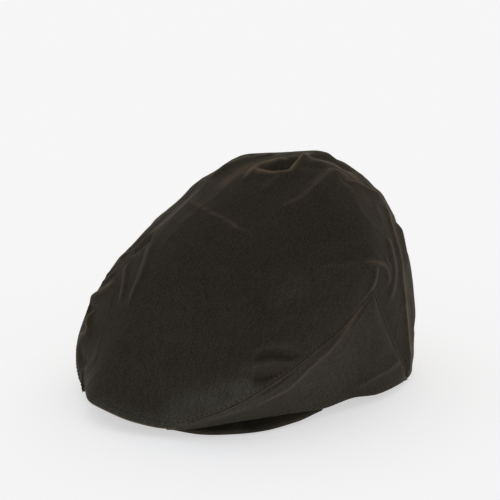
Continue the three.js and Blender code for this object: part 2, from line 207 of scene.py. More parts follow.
PEAK_END_FOLDS = [
    fold(2.6, (6, 5), [(-80, -68, 50), (-61, -72, 62), (-54, -70, 67), (-49, -68, 72)], 1, 0.6, 1.1),
    fold(1.2, 4, [(-73, -65, 64), (-63, -64, 71), (-58, -61, 76)], 1, 0.4),
    fold(1, (4, 3), [(-75, -60, 67), (-68, -58, 74), (-65, -54, 79)], 1, 0.4),
    fold(1.6, 4, [(-27, -83, 66), (-34, -75, 72), (-42, -67, 77), (-52, -59, 82)], 1.2, 0.35),
    fold(1.8, (6, 5), [(-16, -86, 66), (-19, -78, 76), (-22, -70, 84), (-28, -60, 90),
         (-40, -47, 97)], 1.2, 0.35),
    fold(2.4, 5, [(-68, -84, 32), (-55, -88, 40), (-58, -85, 44), (-61, -80, 50),
         (-60, -78, 54)], 1, 0.6, 1.1),
    fold(0.7, (6, 5), [(-52, -97, 17), (-34, -104, 28), (-27, -103, 38)], 1.2, 0.1),
    fold(1.4, (4, 5), [(-67, -54, 79), (-64, -49, 86), (-59, -44, 93), (-53, -36, 100)], 1.2, 0.5, (4, 0.8)),
    fold(-2.6, 6, [(-74, -74, 50), (-66, -78, 51), (-58, -80, 52)], 1.5),
    fold(-1.8, 6, [(-56, -53, 86), (-50, -47, 92), (-44, -42, 98)], 1.5),
    fold(-0.8, 6, [(-64, -88, 30), (-50, -98, 25), (-44, -100, 27)], 1.5),
    # This wide pale field over the right end of the peak paints the light that falls on it.
    rubbed_and_lit([(-68, -46, 86), (-58, -59, 78), (-52, -69, 70), (-54, -75, 61), (-52, -82, 52),
         (-47, -89, 43)], 0.09, 7),
]
SEAM_FOLDS = [
    fold(2.8, (12, 10), [(54, -94, 29), (66, -88, 33), (75, -80, 39), (82, -73, 42), (87, -66, 43)]),
    fold(2, (7, 5), [(82, -68, 57), (88, -52, 61), (91, -36, 58)], 1.5),
    fold(-2.4, 5, [(84, -64, 55), (89, -50, 54), (92, -30, 50)]),
    fold(3, 5, [(82, -70, 47), (87, -60, 51), (90, -49, 51), (91, -36, 48)]),
    fold(-3.4, (5, 6), [(85, -69, 43), (89, -54, 41), (91, -39, 43)]),
    fold(0.9, 3.5, [(72, -87, 22), (78, -83, 26), (82, -78, 26)], 0.8),
    fold(-0.9, 3, [(74, -82, 32), (77, -81, 34.5), (81, -79, 31)], 0.8),
    fold(0.8, 8, [(75, -48, 81), (78, -32, 90), (83, -17, 94)], 2),
    fold(0.8, 7, [(82, -8, 100), (84, -1, 101), (86, 7, 100), (87, 21, 100)], 1.5, 0.06),
]
REAR_FOLDS = [
    fold(2.6, 14, [(47, 93, 106), (57, 86, 92), (63, 82, 78)], 4),
    fold(1.2, 18, [(49, 100, 92), (50, 100, 62), (51, 100, 30)], 5),
    fold(-2.4, 16, [(2, 66, 148), (10, 78, 141), (20, 85, 132), (29, 89, 122)], 5),
    # This crease's crest is worn; the wide pale band beside it, 8 mm to one side, paints the light that falls
    # on the left rear.
    fold(1.6, (6, 8), [(34, 86, 121), (44, 79, 119), (53, 74, 114), (60, 71, 107), (65, 70, 98), (68, 70, 89),
         (71, 70, 77), (71, 73, 62), (69, 78, 46), (66, 83, 24), (64, 86, 11),
         (63, 87, 6)], 0.6, 0.6, (8, 0.5)),
    fold(1.4, 6, [(69, 59, 106), (72, 58, 101), (76, 58, 91), (78, 57, 82), (80, 54, 74),
         (81, 50, 67)], 1.6, 0.35, 1.3),
    fold(1, 3.5, [(80, 46, 98), (80, 48, 93), (80, 51, 86)], 0.8, 0.2),
    fold(1.4, (6, 5), [(86, 20, 101), (86, 30, 98), (84, 39, 95), (82, 45, 91), (81, 48, 84),
         (82, 48, 78)], 1.4, 0.3, 1.2),
    fold(1.6, (5, 4), [(90, 20, 74), (88, 26, 80), (88, 31, 86), (87, 33, 91), (86, 32, 96)], 1, 0.4),
]
# Folds of the sides and the back that the picture does not show.
HIDDEN_FOLDS = [
    fold(1.4, (7, 5), [(-84, -20, 96), (-84, 6, 100), (-80, 28, 98)], 1.2, 0.3),
    fold(1.8, (6, 7), [(-62, 72, 104), (-66, 70, 84), (-68, 69, 62)], 1, 0.4),
    fold(1.6, (8, 6), [(-22, 106, 92), (-25, 112, 66), (-24, 115, 40)], 1.2, 0.3),
    fold(1.4, (6, 8), [(18, 108, 84), (24, 113, 58), (26, 115, 30)], 1.2, 0.3),
    fold(-2, 8, [(-8, 104, 104), (4, 108, 92), (14, 108, 78)], 2),
]
TOP_FOLDS = [*POCKET_FOLDS, *KNOB_FOLDS, *CROWN_FOLDS, *PEAK_END_FOLDS, *SEAM_FOLDS, *REAR_FOLDS,
             *HIDDEN_FOLDS]
# The share of a line over which a fold fades at its ends, and how far past its reach it is looked for.
FOLD_ENDS, FOLD_MARGIN = 0.16, 6
PALE_PLACES = [
    rubbed_and_lit([(40, -104, 13), (48, -100, 16), (59, -93, 24), (70, -86, 29), (80, -78, 32), (86, -69, 34),
         (89, -57, 36)], 1.0, 11, 26),
    rubbed_and_lit([(-16, -116, 15), (4, -120, 14), (18, -118, 13), (31, -112, 11), (42, -105, 10),
         (54, -97, 10)], 0.8, 5),
    rubbed_and_lit([(79, -74, 46), (86, -60, 51), (90, -49, 51)], 0.6, 3),
    rubbed_and_lit([(84, -66, 57), (88, -52, 61), (91, -40, 58)], 0.4, 3),
    rubbed_and_lit([(75, -48, 81), (78, -32, 90), (83, -17, 94)], 0.35, 7, 10),
]
SIDE_FOLDS = [
    fold(1.5, (3.5, 7), [(75, -62, 15), (83, -57, 24), (87, -50, 28), (88, -42, 31), (90, -36, 35),
         (92, -29, 40), (92, -21, 45), (93, -12, 50), (93, -1, 58), (91, 12, 67), (88, 22, 74), (86, 31, 79),
         (85, 42, 86)], 1, 0.34, 1),
    fold(1.2, 5, [(70, 69, 23), (79, 45, 20), (81, 18, 14)], 0.8, 0.2),
    fold(-2.4, 1.5, [(86, -68, 30), (89, -62, 32), (90, -50, 36), (91, -40, 42), (92, -29, 48),
         (92, -14, 55)], 0.4),
]


def catmull(points, place, closed=False):
    """Points of a smooth curve through the given ones, at places from 0 to 1."""
    points = np.asarray(points, float)
    if closed:
        padded = np.vstack([points[-1:], points, points[:2]])
        spans = len(points)
    else:
        padded = np.vstack([2 * points[:1] - points[1:2], points, 2 * points[-1:] - points[-2:-1]])
        spans = len(points) - 1
    scaled = np.asarray(place, float) * spans
    first = np.clip(np.floor(scaled).astype(int), 0, spans - 1)
    w = (scaled - first)[..., None]
    before, start, end, after = (padded[first + i] for i in range(4))
    leave, arrive = (end - before) / 2, (after - start) / 2
    return ((2 * w ** 3 - 3 * w ** 2 + 1) * start + (w ** 3 - 2 * w ** 2 + w) * leave
            + (3 * w ** 2 - 2 * w ** 3) * end + (w ** 3 - w ** 2) * arrive)


def bezier(controls, t):
    """Points of a Bezier curve of three or four control points."""
    t = np.asarray(t, float)[..., None]
    while len(controls) > 1:
        controls = [a + (b - a) * t for a, b in zip(controls, controls[1:])]
    return controls[0]


def smooth(value, low, high):
    """Rise from 0 to 1 between low and high, with soft ends."""
    t = np.clip((value - low) / (high - low), 0, 1)
    return t * t * (3 - 2 * t)


def unit(vectors, least=1e-9):
    return vectors / np.maximum(np.linalg.norm(vectors, axis=-1, keepdims=True), least)


def square_to(direction, along):
    """The part of a direction that is square to another one, at length 1."""
    return unit(direction - (direction * along).sum(-1, keepdims=True) * along)


def mirrored(points):
    return np.asarray(points) * (-1, 1, 1)


def loop_points(column):
    """A half column of the table and its mirror image, as a closed loop from the tip."""
    half = np.array([(*row, CROWN_TOP[2] + CROWN_TILT * (row[1] - CROWN_TOP[1])) if len(row) == 2 else row
                     for row in column], float)
    return np.vstack([half, mirrored(half[1:-1])[::-1]])


def peak_points(column):
    """A half column of the peak and its mirror image, from the right end to the left end."""
    half = np.array(column, float)
    return np.vstack([mirrored(half[1:])[::-1], half])


FOOT_LOOP, SHOULDER_LOOP, BROW_LOOP = (loop_points(column) for column in (FOOT, SHOULDER, BROW))
RIM_LINE, LEDGE_LINE, BAND_LINE = (peak_points(column) for column in (RIM, LEDGE, BAND))


def shifted(turn, middle, reach, shift):
    """A shift round one turn that fades to both sides."""
    turn = np.asarray(turn, float)
    away = np.where(turn > 0.5, turn - 1, turn) - middle
    return np.exp(-(away / reach) ** 2)[..., None] * shift


def pressed(turn):
    """Shift of the right of the tip, which is pressed in and up a little."""
    return shifted(turn, PRESSED_TURN, PRESSED_REACH, PRESSED_SHIFT)


def shoulder_at(turn):
    """The shoulder, which is a little fuller over the right end of the peak."""
    return catmull(SHOULDER_LOOP, turn, True) + shifted(turn, FULL_TURN, FULL_REACH, FULL_SHIFT)


def foot_at(turn):
    foot = catmull(FOOT_LOOP, turn, True) + pressed(turn)
    foot[..., 2] = np.maximum(foot[..., 2], 0)
    return foot


def disc_point(x, y):
    """A square from -1 to 1 bent into the unit disc, so that the top has no pole."""
    return x * np.sqrt(1 - y * y / 2), y * np.sqrt(1 - x * x / 2)


def turn_of(u, v):
    """Turn of a place in the disc, from 0 at the peak's tip by way of the wearer's left."""
    return np.arctan2(u, -v) / (2 * math.pi) % 1


def edge_turn(cell):
    """Turn of a place on the top's edge, counted in cells from the tip."""
    place = cell / HALF_CELLS
    if place <= 1:
        x, y = place, -1
    elif place <= 3:
        x, y = 1, place - 2
    else:
        x, y = 4 - place, 1
    return float(turn_of(*disc_point(x, y)))


FRONT_TURN, APEX_TURN, REAR_TURN = (edge_turn(cell) for cell in (FRONT_CELL, APEX_CELL, REAR_CELL))
TOP_SEAM_LINE = np.vstack([foot_at(FRONT_TURN), TOP_SEAM, APEX])


def half_of(turn):
    return np.minimum(turn, 1 - turn)


def on_seam(turn):
    return (half_of(turn) > FRONT_TURN) & (half_of(turn) < REAR_TURN)


def top_edge(turn):
    """Lower edge of the top: a seam beside each side panel, and the foot of the cloth elsewhere."""
    half = half_of(turn)
    rising = catmull(TOP_SEAM_LINE, np.clip((half - FRONT_TURN) / (APEX_TURN - FRONT_TURN), 0, 1))
    falling = bezier([APEX, REAR_SEAM_MIDDLE, foot_at(REAR_TURN)],
                     np.clip((half - APEX_TURN) / (REAR_TURN - APEX_TURN), 0, 1))
    seam = np.where((half <= APEX_TURN)[..., None], rising, falling)
    seam = np.where((turn <= 0.5)[..., None], seam, mirrored(seam))
    return np.where(on_seam(turn)[..., None], seam, foot_at(turn))


def blurred_edge(count=360, spread=0.022, least=1e-4):
    """The top's edge as a loop with its corners rounded."""
    loop = top_edge(np.arange(count) / count)
    shifts = np.arange(-count // 2, count // 2)
    weights = np.exp(-(shifts / count / spread) ** 2)
    weights /= weights.sum()
    return sum(w * np.roll(loop, k, axis=0) for k, w in zip(shifts, weights) if w > least)


SOFT_EDGE_LOOP = blurred_edge()


def guide_edge(turn, lift):
    """The edge that shapes the top at a lift: the sharp one below, the rounded one further in."""
    sharp = top_edge(turn)
    return sharp + (catmull(SOFT_EDGE_LOOP, turn, True) - sharp) * smooth(lift, 0, SOFT_LIFT)[..., None]


def top_point(u, v):
    """Point of the top's outer face: the disc's rim is the edge, its centre the crown's top."""
    turn = turn_of(u, v)
    lift = 1 - np.minimum(np.hypot(u, v), 1)
    crown = np.broadcast_to(CROWN_TOP, (*np.shape(u), 3)).astype(float)
    return bezier([guide_edge(turn, lift), shoulder_at(turn), catmull(BROW_LOOP, turn, True), crown], lift)


def top_normal(u, v, step=0.01):
    a, b = u * (1 - step), v * (1 - step)
    return unit(np.cross(top_point(a + step, b) - top_point(a - step, b),
                         top_point(a, b + step) - top_point(a, b - step)))


def seam_out(turn, along):
    """Direction out of the cap at a seam, the same for both panels that meet there."""
    return square_to(unit(top_edge(turn) - CORE), along)


def outward(point):
    flat = point - (0, MIDDLE_Y, 0)
    flat[..., 2] = 0
    return unit(flat)


def side_point(turn, rise):
    """Point of the left side panel's outer face, from its foot at rise 0 to the seam at rise 1."""
    foot, seam = foot_at(turn), top_edge(turn)
    height = (seam - foot)[..., 2:]
    fullness = smooth(height, 0, BULGE_HEIGHT)
    away = outward(foot)
    up = np.array((0, 0, 1))
    low = foot + away * SIDE_BULGE * fullness + up * SIDE_LOW_LIFT * height
    high = seam + away * SIDE_ROLL * fullness - up * SIDE_HIGH_DROP * height
    return bezier([foot, low, high, seam], rise)


def relief(points, normals, folds, samples=48):
    """Height and wear that the folds give to each point."""
    height, wear = np.zeros(len(points)), np.zeros(len(points))
    for item in folds:
        line = catmull(item["line"], np.linspace(0, 1, samples))
        steps = np.gradient(line, axis=0)
        margin = max(item["left"], item["right"]) + FOLD_MARGIN
        near = (points > line.min(0) - margin) & (points < line.max(0) + margin)
        near = np.flatnonzero(near.all(1))
        if not len(near):
            continue
        p, n = points[near], normals[near]
        k = ((p[:, None] - line[None]) ** 2).sum(-1).argmin(1)
        tangent = unit(steps[k])
        offset = p - line[k]
        along = (offset * tangent).sum(1)
        place = (k + along / np.linalg.norm(steps[k], axis=1)) / (samples - 1)
        across = (offset * unit(np.cross(n, tangent))).sum(1)
        reach = np.where(across > 0, item["left"], item["right"])
        rounded = np.sqrt(across ** 2 + item["crest"] ** 2) - item["crest"]
        ends = smooth(place * (1 - place), 0, FOLD_ENDS)
        shape = np.clip(1 - rounded / reach, 0, 1) ** 2 * ends
        shape *= np.linalg.norm(offset, axis=1) < margin + FOLD_MARGIN
        height[near] += item["height"] * shape
        rub = np.where(across > 0, item["rub_left"], item["rub_right"])
        wear[near] += item["wear"] * ends * np.exp(-(across / rub) ** 2)
    return height, wear


def ripple(points, seed):
    """Slow unevenness of well-used cloth, with a few soft creases."""
    offset = Vector((seed, seed * 0.7, seed * 1.3))
    out = np.empty(len(points))
    for i, p in enumerate(points.tolist()):
        v = Vector(p)
        slow = noise.noise(v / SLOW_WIDTH + offset)
        small = noise.noise(v / SMALL_WIDTH + offset * 2)
        crease = max(1 - abs(noise.noise(v / CREASE_WIDTH + offset * 3)) * 2, 0)
        out[i] = slow * SLOW_RISE + small * SMALL_RISE + crease ** CREASE_POWER * CREASE_RISE
    return out


def spaced(count, ends=0.35, start=0.86, stop=0.98, samples=2001, dense=()):
    """Grid lines from -1 to 1 that close up towards both ends, and at the dense places between."""
    even = np.linspace(-1, 1, samples)
    weight = 1 - (1 - ends) * smooth(np.abs(even), start, stop)
    for place, width, factor in dense:
        weight *= 1 - (1 - factor) * np.exp(-((even - place) / width) ** 2)
    total = np.concatenate([[0], np.cumsum(1 / weight[1:] + 1 / weight[:-1])])
    total = total / total[-1] * 2 - 1
    return np.interp(np.linspace(-1, 1, count + 1), total, even)


def roll(distance, radius, turned, span, tuck):
    """Shift of the cloth near an edge: (into the panel, below the face) by distance from the edge.

    The cloth turns through an angle at the edge, a quarter for a seam and a half for a hem, and then
    goes on straight for the length of the tuck."""
    reach = span * radius
    straight = reach - radius
    arc = straight + turned * radius + tuck
    travelled = np.clip(1 - distance / reach, 0, 1) * arc
    flat = np.minimum(travelled, straight)
    angle = np.clip((travelled - straight) / radius, 0, turned)
    tucked = np.maximum(travelled - straight - turned * radius, 0)
    inwards = reach - flat - radius * np.sin(angle) - tucked * math.cos(turned)
    below = radius * (1 - np.cos(angle)) + tucked * math.sin(turned)
    inside = distance < reach
    return np.where(inside, inwards - distance, 0), np.where(inside, below, 0)


def add_grid(bm, grid):
    """Add a flat grid to the mesh, and say which of the given points each vertex stands for."""
    rows, columns = grid.shape[:2]
    start = len(bm.verts)
    bmesh.ops.create_grid(bm, x_segments=columns - 1, y_segments=rows - 1, size=1)
    bm.verts.ensure_lookup_table()
    at = (np.array([v.co[:2] for v in bm.verts[start:]]) + 1) / 2 * (columns - 1, rows - 1)
    column, row = np.rint(at).astype(int).T
    return row * columns + column


def shell(name, outer, inner, outer_facts, mirror=False):
    """A closed sheet from a fine outer grid and a coarse inner one, joined along their edges."""
    bm = bmesh.new()
    placed, flats = [], []
    for grid in (outer, inner):
        order = add_grid(bm, grid)
        placed.append(grid.reshape(-1, 3)[order] * MM)
        flats.append(flat_place(grid).reshape(-1, 2)[order] * MM)
        if grid is outer:
            facts = {key: value.reshape(-1)[order] for key, value in outer_facts.items()}
            count = len(order)
        else:
            bmesh.ops.reverse_faces(bm, faces=[f for f in bm.faces if f.verts[0].index >= count])
        bm.verts.index_update()
    bmesh.ops.bridge_loops(bm, edges=[e for e in bm.edges if e.is_boundary])
    points = np.vstack(placed)
    if mirror:
        points = mirrored(points)
    for vert, point in zip(bm.verts, points):
        vert.co = point
    bmesh.ops.recalc_face_normals(bm, faces=bm.faces[:])
    piece = put(name, bm)
    padding = np.zeros(len(points) - count)
    for key, value in facts.items():
        layer = piece.data.attributes.new(key, "FLOAT", "POINT")
        layer.data.foreach_set("value", np.concatenate([value, padding]).astype(np.float32))
    add_flat_map(piece.data, np.vstack(flats))
    return piece


def put(name, bm):
    """Put a finished mesh in the scene, with smooth shading."""
    mesh = bpy.data.meshes.new(name)
    bm.to_mesh(mesh)
    bm.free()
    mesh.shade_smooth()
    piece = bpy.data.objects.new(name, mesh)
    bpy.context.scene.collection.objects.link(piece)
    return piece


def add_flat_map(mesh, flat):
    """The piece's own map: where each point lies on the flat cloth, in metres."""
    corners = np.empty(len(mesh.loops), int)
    mesh.loops.foreach_get("vertex_index", corners)
    layer = mesh.uv_layers.new(name="cloth")
    layer.data.foreach_set("uv", flat[corners].astype(np.float32).ravel())


def flat_place(grid):
    """Distances along the cloth from its middle lines, for the weave."""
    out = []
    for axis in (1, 0):
        step = np.linalg.norm(np.diff(grid, axis=axis), axis=-1)
        total = np.insert(np.cumsum(step, axis=axis), 0, 0, axis=axis)
        out.append(total - np.take(total, [grid.shape[axis] // 2], axis=axis))
    return np.stack(out, axis=-1)


def top_face(across_lines, along_lines):
    """The top's outer face on a square grid of lines, before it gets its folds and edges."""
    x, y = np.meshgrid(across_lines, along_lines)
    u, v = disc_point(x, y)
    turn = turn_of(u, v)
    lift = 1 - np.minimum(np.hypot(u, v), 1)
    edge = top_edge(turn)
    steep = shoulder_at(turn) - edge
    along = unit(top_edge((turn + TURN_STEP) % 1) - top_edge((turn - TURN_STEP) % 1))
    into = square_to(steep, along)
    distance = 3 * lift * (steep * into).sum(-1)
    seam = smooth(np.linalg.norm(edge - foot_at(turn), axis=-1), 0, SEAM_HEIGHT)
    hem_face = np.cross(along, into)
    face = unit(hem_face + (seam_out(turn, along) - hem_face) * seam[..., None])
    return {"point": top_point(u, v), "normal": top_normal(u, v), "distance": distance,
            "into": into, "face": face, "seam": seam, "front": half_of(turn) < FRONT_TURN}


def edged(face, hem_radius, seam_radius):
    """The face with its hems rolled under and its seams turned in."""
    hem = roll(face["distance"], hem_radius, math.pi, HEM_SPAN, HEM_TUCK)
    seam = roll(face["distance"], seam_radius, math.pi / 2, SEAM_SPAN, SEAM_TUCK)
    into = hem[0] + (seam[0] - hem[0]) * face["seam"]
    below = hem[1] + (seam[1] - hem[1]) * face["seam"]
    return face["into"] * into[..., None] - face["face"] * below[..., None]


def lined(face, thickness, hem_radius):
    """Shift from the outer face to the inner one, which meets the end of a hem's roll."""
    distance, hem = face["distance"], 1 - face["seam"]
    wall = thickness + (2 * hem_radius - thickness) * hem * (1 - smooth(distance, 0, WALL_FADE))
    lift = hem_radius * hem * (1 - smooth(distance, 0, LINING_FADE))
    normal = face["face"] + (face["normal"] - face["face"]) * smooth(distance, *FACE_FADE)[..., None]
    return face["into"] * lift[..., None] - unit(normal) * wall[..., None]


def hem_wear(distance, start, end, strength):
    """Wear of a rolled edge, which fades from start to end."""
    return strength * (1 - smooth(distance, start, end))


def seam_wear(distance, crest, strength):
    """Wear along the crest of a turned-in seam."""
    return strength * np.exp(-((distance - crest) / SEAM_WEAR_WIDTH) ** 2)


def folded(face, folds, seed, height):
    """How far folds and ripples lift each point, and how pale it is there: wear, and on a few folds painted
    light.
    """
    points, normals = face["point"].reshape(-1, 3), face["normal"].reshape(-1, 3)
    lift, wear = relief(points, normals, folds)
    lift += height / MM * ripple(points, seed)
    lift *= smooth(face["distance"].reshape(-1), *FOLD_FADE)
    shape = face["distance"].shape
    return lift.reshape(shape), wear.reshape(shape)


def make_top(cloth):
    thickness, hem, seam = cloth.thickness / MM, cloth.hem_radius / MM, cloth.seam_radius / MM
    grids = []
    for cells in (cloth.top_cells, cloth.lining_cells):
        face = top_face(spaced(cells, dense=DENSE_ACROSS), spaced(cells, dense=DENSE_ALONG))
        lift, wear = folded(face, TOP_FOLDS, TOP_SEED, cloth.ripple)
        raised = face["point"] + face["normal"] * lift[..., None]
        if not grids:
            distance = face["distance"]
            hems = np.where(face["front"], hem_wear(distance, *FRONT_HEM_WEAR),
                            hem_wear(distance, *BACK_HEM_WEAR))
            wear += seam_wear(distance, *TOP_SEAM_WEAR) * face["seam"] + hems * (1 - face["seam"])
            pale = relief(face["point"].reshape(-1, 3), face["normal"].reshape(-1, 3), PALE_PLACES)[1]
            facts = {"wear": np.clip(wear, 0, 1), "pale": np.clip(pale, 0, 1)}
            grids.append(raised + edged(face, hem, seam))
        else:
            grids.append(raised + lined(face, thickness, hem))
    return shell("top_cloth", grids[0], grids[1], facts)


def side_face(along_lines, rise_lines):
    """The left side panel's outer face on a grid, with its places beside foot and seam."""
    turn = FRONT_TURN + (REAR_TURN - FRONT_TURN) * (along_lines + 1) / 2
    turn, rise = np.meshgrid(turn, (rise_lines + 1) / 2)
    point = side_point(turn, rise)
    step = np.linalg.norm(np.diff(point, axis=0), axis=-1)
    from_foot = np.insert(np.cumsum(step, axis=0), 0, 0, axis=0)
    length = from_foot[-1:]
    along_foot = unit(foot_at(turn + TURN_STEP) - foot_at(turn - TURN_STEP))
    along_seam = unit(top_edge(turn + TURN_STEP) - top_edge(turn - TURN_STEP))
    low, high = (side_point(turn, np.full_like(rise, at)) for at in (SIDE_EDGE_STEP, 1 - SIDE_EDGE_STEP))
    up_foot = square_to(low - foot_at(turn), along_foot)
    down_seam = square_to(high - top_edge(turn), along_seam)
    normal = unit(np.cross(np.gradient(point, axis=1), np.gradient(point, axis=0)))
    return {"point": point, "normal": normal, "from_foot": from_foot, "from_seam": length - from_foot,
            "up": up_foot, "down": down_seam, "length": length,
            "foot_face": np.cross(along_foot, up_foot), "seam_face": seam_out(turn, along_seam)}


def make_side(name, cloth, mirror, seed):
    thickness, hem, seam = cloth.thickness / MM, cloth.hem_radius / MM, cloth.seam_radius / MM
    grids = []
    for along, across in ((cloth.side_cells, cloth.side_rows), (cloth.side_cells // 3, cloth.side_rows // 3)):
        face = side_face(np.linspace(-1 + SIDE_TRIM, 1 - SIDE_TRIM, along + 1), spaced(across))
        face["distance"] = np.minimum(face["from_foot"], face["from_seam"])
        height = face["from_foot"] / face["length"]
        lift, wear = folded(face, SIDE_FOLDS, seed, cloth.ripple)
        meet = (1 - smooth(face["length"], *LAP_HEIGHTS)) * smooth(height, EDGE_SHARE, 1)
        lapped = (face["down"] * LAP_UP + face["seam_face"] * LAP_UNDER) * meet[..., None]
        raised = face["point"] + face["normal"] * lift[..., None] - lapped
        room = np.minimum(face["length"] / LEAST_ROOM, 1)
        foot_place, seam_place = face["from_foot"] / room, face["from_seam"] / room
        if not grids:
            for into, out, edge in (
                    ("up", "foot_face", roll(foot_place, hem, math.pi, HEM_SPAN, HEM_TUCK)),
                    ("down", "seam_face", roll(seam_place, seam, math.pi / 2, SEAM_SPAN, SEAM_TUCK))):
                inwards, below = (shift[..., None] for shift in edge)
                raised = raised + (face[into] * inwards - face[out] * below) * room[..., None]
            rear = smooth(face["point"][..., 1], *SIDE_CHANGE)
            wear += seam_wear(face["from_seam"], *SIDE_SEAM_WEAR)
            wear += hem_wear(face["from_foot"], *SIDE_HEM_WEAR) * (SIDE_WEAR + REAR_WEAR * rear)
            # The side panels' pale tone, strongest at the front, paints the light that falls on them.
            facts = {"wear": np.clip(wear, 0, 1), "pale": SIDE_PAINTED_LIGHT * (1 - REAR_PAINTED_LIGHT_LOSS * rear)}
            grids.append(raised)
        else:
            near_foot = 1 - smooth(foot_place, 0, WALL_FADE)
            wall = (thickness + (2 * hem - thickness) * near_foot) * room
            lift = hem * (1 - smooth(foot_place, 0, LINING_FADE)) * room
            blend = (smooth(foot_place, *FACE_FADE) * smooth(seam_place, *FACE_FADE))[..., None]
            edge_face = face["foot_face"] + (face["seam_face"] - face["foot_face"]) \
                * smooth(height, EDGE_SHARE, 1 - EDGE_SHARE)[..., None]
            normal = unit(edge_face + (face["normal"] - edge_face) * blend)
            grids.append(raised + face["up"] * lift[..., None] - normal * wall[..., None])
    return shell(name, grids[0], grids[1], facts, mirror)


def peak_section(along, angles, board):
    """A closed section of the peak at each place along it: up over the face and back underneath."""
    place = (along + 1) / 2
    turn = along * (len(RIM) - 1) / (len(FOOT) - 1) / 2 % 1
    rim, ledge, inner = (catmull(line, place) for line in (RIM_LINE, LEDGE_LINE, BAND_LINE))
    rim, ledge = rim + pressed(turn), ledge + pressed(turn)
    board = board * (1 - THIN_SHARE * smooth(np.abs(along), THIN_FROM, 1))
    share = (1 - np.cos(angles)) / 2
    low = rim + (ledge - rim) * (share / PEAK_LEDGE)[..., None]
    high = ledge + (inner - ledge) * ((share - PEAK_LEDGE) / (1 - PEAK_LEDGE))[..., None]
    top = np.where((share < PEAK_LEDGE)[..., None], low, high)
    under = top.copy()
    under[..., 2] = np.maximum(top[..., 2] - board, LEAST_HEIGHT)
    from_rim = np.linalg.norm(top - rim, axis=-1)
    from_band = np.linalg.norm(top - inner, axis=-1)
    radius = board / 2
    near = np.minimum(np.minimum(from_rim, from_band), radius)
    thick = np.sqrt(np.clip(1 - (1 - near / radius) ** 2, 0, 1))
    thick *= np.sqrt(1 - np.clip((np.abs(along) - END_FROM) / END_SPAN, 0, 1) ** 2)
    middle, half = (top + under) / 2, (top - under) / 2
    side = np.where(angles <= math.pi, 1, -1)
    return middle + half * (thick * side)[..., None], from_rim


def make_peak(peak):
    along, angles = np.meshgrid(np.linspace(-1, 1, peak.cells + 1),
                                np.linspace(0, 2 * math.pi, peak.section_cells + 1))
    points, from_rim = peak_section(along, angles, peak.board / MM)
    bm = bmesh.new()
    order = add_grid(bm, points)
    placed = points.reshape(-1, 3)[order] * MM
    flat = flat_place(points).reshape(-1, 2)[order] * MM
    wear = np.exp(-(from_rim.reshape(-1)[order] / RIM_WEAR_WIDTH) ** 2) * RIM_WEAR
    uv = bm.loops.layers.uv.new("cloth")
    worn_and_lit = bm.verts.layers.float.new("wear")
    for vert, point, value in zip(bm.verts, placed, wear):
        vert.co = point
        vert[worn_and_lit] = value
    bm.verts.index_update()
    for face in bm.faces:
        for corner in face.loops:
            corner[uv].uv = flat[corner.vert.index]
    bmesh.ops.remove_doubles(bm, verts=bm.verts[:], dist=MM * MM)
    bmesh.ops.recalc_face_normals(bm, faces=bm.faces[:])
    return put("peak_cover", bm)


def stitch_spots(peak, cloth, first, last):
    """Places and normals of both ends of each stitch, on the cloth beside its edge."""
    turns = np.linspace(first, last, STITCH_SAMPLES)
    edge = top_edge(turns % 1)
    run = np.concatenate([[0], np.cumsum(np.linalg.norm(np.diff(edge, axis=0), axis=1))])
    spots = []
    for spot in np.arange(peak.stitch_pitch / MM, run[-1], peak.stitch_pitch / MM):
        ends = []
        for side in (-1, 1):
            turn = np.array(np.interp(spot + side * peak.stitch_length / MM / 2, run, turns) % 1)
            steep = shoulder_at(turn) - top_edge(turn)
            inset = peak.front_inset if half_of(float(turn)) < FRONT_TURN else peak.stitch_inset
            radius = 1 - inset / MM / (3 * np.linalg.norm(steep))
            angle = float(turn) * 2 * math.pi
            place = top_point(np.array(radius * math.sin(angle)), np.array(-radius * math.cos(angle)))
            ends.append(cloth.closest_point_on_mesh(Vector(place * MM))[1:3])
        spots.append(ends)
    return spots


def make_stitches(peak, cloth):
    """Rows of small stitches along the front of the peak and up both side seams."""
    bm = bmesh.new()
    thick = peak.stitch_thickness / 2
    front, high = FRONT_TURN * STITCH_CORNER, APEX_TURN * STITCH_TOP
    for first, last in ((-front, front), (front, high), (-high, -front)):
        for (start, up), (end, _) in stitch_spots(peak, cloth, first, last):
            direction = (end - start).normalized()
            across = up.cross(direction).normalized()
            matrix = Matrix((direction * peak.stitch_length / 2, across * thick, up * thick))
            matrix = matrix.transposed().to_4x4()
            matrix.translation = (start + end) / 2
            bmesh.ops.create_icosphere(bm, subdivisions=2, radius=1, matrix=matrix)
    bmesh.ops.recalc_face_normals(bm, faces=bm.faces[:])
    return put("edge_stitches", bm)


# Materials.
def fill(tree, sockets, values):
    """Set plain values on sockets, and link those that come from another node."""
    for key, value in values.items():
        if isinstance(value, bpy.types.NodeSocket):
            tree.links.new(value, sockets[key])
        else:
            sockets[key].default_value = value


def add(tree, kind, inputs=None, **settings):
    node = tree.nodes.new(kind)
    for key, value in settings.items():
        setattr(node, key, value)
    fill(tree, node.inputs, inputs or {})
    return node


def maths(tree, operation, *values):
    return add(tree, "ShaderNodeMath", dict(enumerate(values)), operation=operation).outputs[0]


def mixed(tree, share, first, second, blend="MIX"):
    return add(tree, "ShaderNodeMix", {0: share, 6: first, 7: second},
               data_type="RGBA", blend_type=blend).outputs[2]


def ranged(tree, value, low, high, new_low=0.0, new_high=1.0):
    return add(tree, "ShaderNodeMapRange", {0: value, 1: low, 2: high, 3: new_low, 4: new_high}).outputs[0]


def cloud(tree, vector, scale, detail, roughness=0.55, distortion=0.0):
    return add(tree, "ShaderNodeTexNoise", {"Vector": vector, "Scale": scale, "Detail": detail,
                                            "Roughness": roughness, "Distortion": distortion}).outputs[0]


